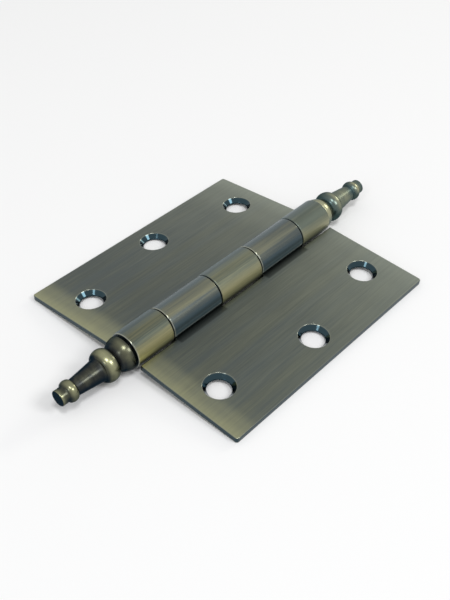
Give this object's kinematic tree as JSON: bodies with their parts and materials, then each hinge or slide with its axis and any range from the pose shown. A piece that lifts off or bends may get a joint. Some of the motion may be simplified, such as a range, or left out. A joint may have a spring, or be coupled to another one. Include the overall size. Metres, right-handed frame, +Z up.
{
  "type": "butt hinge",
  "caption": "Open butt hinge with square countersunk leaves, a rolled knuckle barrel and turned steeple finials on its pin.",
  "frame": {"origin": "on the surface that the open hinge lies on, under the middle of its length", "axes": "+Y along the barrel towards the top finial, +X towards the leaf with two knuckles, +Z up out of the countersunk faces"},
  "size_m": [0.0862, 0.1379, 0.0118],
  "materials": {
    "antique_brass_leaf": "brushed along the barrel, dark antique patina, satin lacquer",
    "antique_brass_finial": "turned and polished, dark patina left in the grooves",
    "pin_steel": "plated steel, dulled"
  },
  "bodies": {
    "frame_leaf": {"leaf_three_knuckle": "antique_brass_leaf"},
    "door_leaf": {"leaf_two_knuckle": "antique_brass_leaf"},
    "pin": {"hinge_pin": "pin_steel", "top_finial": "antique_brass_finial", "bottom_finial": "antique_brass_finial"}
  },
  "joints": [
    {"name": "leaf_swing", "type": "hinge", "parent": "frame_leaf", "child": "door_leaf", "pos_m": [0, 0, 0.00592], "axis": [0, -1, 0], "range_deg": [-115, 190]},
    {"name": "pin_spin", "type": "hinge", "parent": "frame_leaf", "child": "pin", "pos_m": [0, 0, 0.00592], "axis": [0, 1, 0], "continuous": true}
  ]
}
